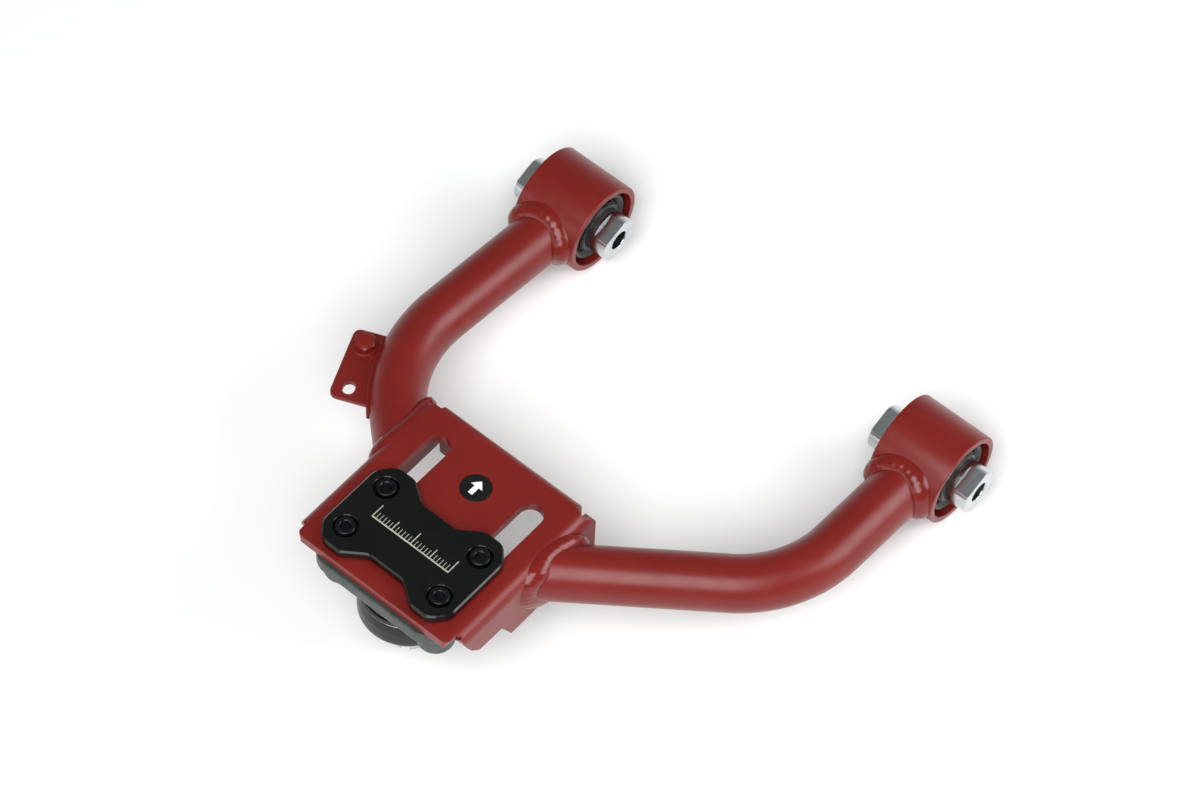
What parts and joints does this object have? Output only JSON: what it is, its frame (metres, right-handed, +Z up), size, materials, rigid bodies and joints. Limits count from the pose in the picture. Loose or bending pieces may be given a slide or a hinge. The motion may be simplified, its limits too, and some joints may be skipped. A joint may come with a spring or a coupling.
{
  "type": "suspension control arm",
  "caption": "Welded tubular upper control arm with spherical bushings, a slotted adjustment plate and a clamped, sliding ball joint with a rubber boot.",
  "frame": {"origin": "centre of the arm's outline on the floor it rests on, on both housings and the stud's tip", "axes": "+X along the pivot axis from the rear bushing to the front one, +Y from the ball joint towards the pivot axis, +Z up"},
  "size_m": [0.2906, 0.268, 0.0865],
  "materials": {
    "red_paint": "satin red powder coat",
    "weld_beads": "glossy red powder coat over rippled weld",
    "black_anodised": "gloss black anodised",
    "side_label": "black vinyl with a white arrow",
    "black_screws": "black oxide",
    "ball_joint_coating": "dull grey-green phosphate",
    "spring_steel": "oiled spring steel",
    "bearing_nylon": "natural nylon",
    "bright_steel": "machined, bright zinc",
    "zinc_plate": "clear zinc plate",
    "black_rubber": "moulded black rubber"
  },
  "bodies": {
    "arm": {"slotted_plate": "red_paint", "rear_leg_tube": "red_paint", "front_leg_tube": "red_paint", "rear_bushing_housing": "red_paint", "front_bushing_housing": "red_paint", "rear_housing_weld": "weld_beads", "front_housing_weld": "weld_beads", "rear_plate_weld": "weld_beads", "front_plate_weld": "weld_beads", "hose_bracket": "red_paint", "bracket_nut": "red_paint", "side_label": "side_label", "rear_bushing_race": "bright_steel", "rear_snap_ring_aft": "spring_steel", "rear_snap_ring_fore": "spring_steel", "rear_dust_boot_aft": "black_rubber", "rear_dust_boot_fore": "black_rubber", "front_bushing_race": "bright_steel", "front_snap_ring_aft": "spring_steel", "front_snap_ring_fore": "spring_steel", "front_dust_boot_aft": "black_rubber", "front_dust_boot_fore": "black_rubber"},
    "carriage": {"clamp_plate": "black_anodised", "clamp_screw_1": "black_screws", "clamp_screw_2": "black_screws", "clamp_screw_3": "black_screws", "clamp_screw_4": "black_screws", "ball_joint_housing": "ball_joint_coating", "ball_joint_cap": "ball_joint_coating", "ball_seat_lower": "bearing_nylon", "ball_seat_upper": "bearing_nylon", "preload_spring": "spring_steel", "boot_top_band": "spring_steel"},
    "boot_collar": {"ball_joint_boot": "black_rubber"},
    "boot_lip": {"boot_low_band": "spring_steel"},
    "stud": {"ball_stud": "bright_steel", "castle_nut": "zinc_plate", "cotter_pin": "zinc_plate"},
    "rear_boot_bands": {"rear_boot_band_aft": "spring_steel", "rear_boot_band_fore": "spring_steel"},
    "rear_sleeve": {"rear_bushing_ball": "bright_steel", "rear_spacer_aft": "bright_steel", "rear_spacer_fore": "bright_steel"},
    "front_boot_bands": {"front_boot_band_aft": "spring_steel", "front_boot_band_fore": "spring_steel"},
    "front_sleeve": {"front_bushing_ball": "bright_steel", "front_spacer_aft": "bright_steel", "front_spacer_fore": "bright_steel"}
  },
  "joints": [
    {"name": "ball_joint_slide", "type": "slide", "parent": "arm", "child": "carriage", "axis": [0, 0.986, -0.167], "range_m": [0, 0.0355]},
    {"name": "stud_swing_in_out", "type": "hinge", "parent": "carriage", "child": "boot_collar", "pos_m": [-0.0343, -0.10551, 0.05219], "axis": [1, 0, 0], "range_deg": [-18, 18]},
    {"name": "stud_swing_fore_aft", "type": "hinge", "parent": "boot_collar", "child": "boot_lip", "pos_m": [-0.0343, -0.10551, 0.05219], "axis": [0, 0.986, -0.167], "range_deg": [-18, 18]},
    {"name": "stud_spin", "type": "hinge", "parent": "boot_lip", "child": "stud", "pos_m": [-0.0343, -0.10551, 0.05219], "axis": [0, 0.167, 0.986], "continuous": true},
    {"name": "rear_sleeve_tilt", "type": "hinge", "parent": "arm", "child": "rear_boot_bands", "pos_m": [-0.1145, 0.10896, 0.025], "axis": [0, 0.167, 0.986], "range_deg": [-7, 7]},
    {"name": "rear_sleeve_spin", "type": "hinge", "parent": "rear_boot_bands", "child": "rear_sleeve", "pos_m": [-0.1145, 0.10896, 0.025], "axis": [1, 0, 0], "continuous": true},
    {"name": "front_sleeve_tilt", "type": "hinge", "parent": "arm", "child": "front_boot_bands", "pos_m": [0.1145, 0.10896, 0.025], "axis": [0, 0.167, 0.986], "range_deg": [-7, 7]},
    {"name": "front_sleeve_spin", "type": "hinge", "parent": "front_boot_bands", "child": "front_sleeve", "pos_m": [0.1145, 0.10896, 0.025], "axis": [1, 0, 0], "continuous": true}
  ]
}
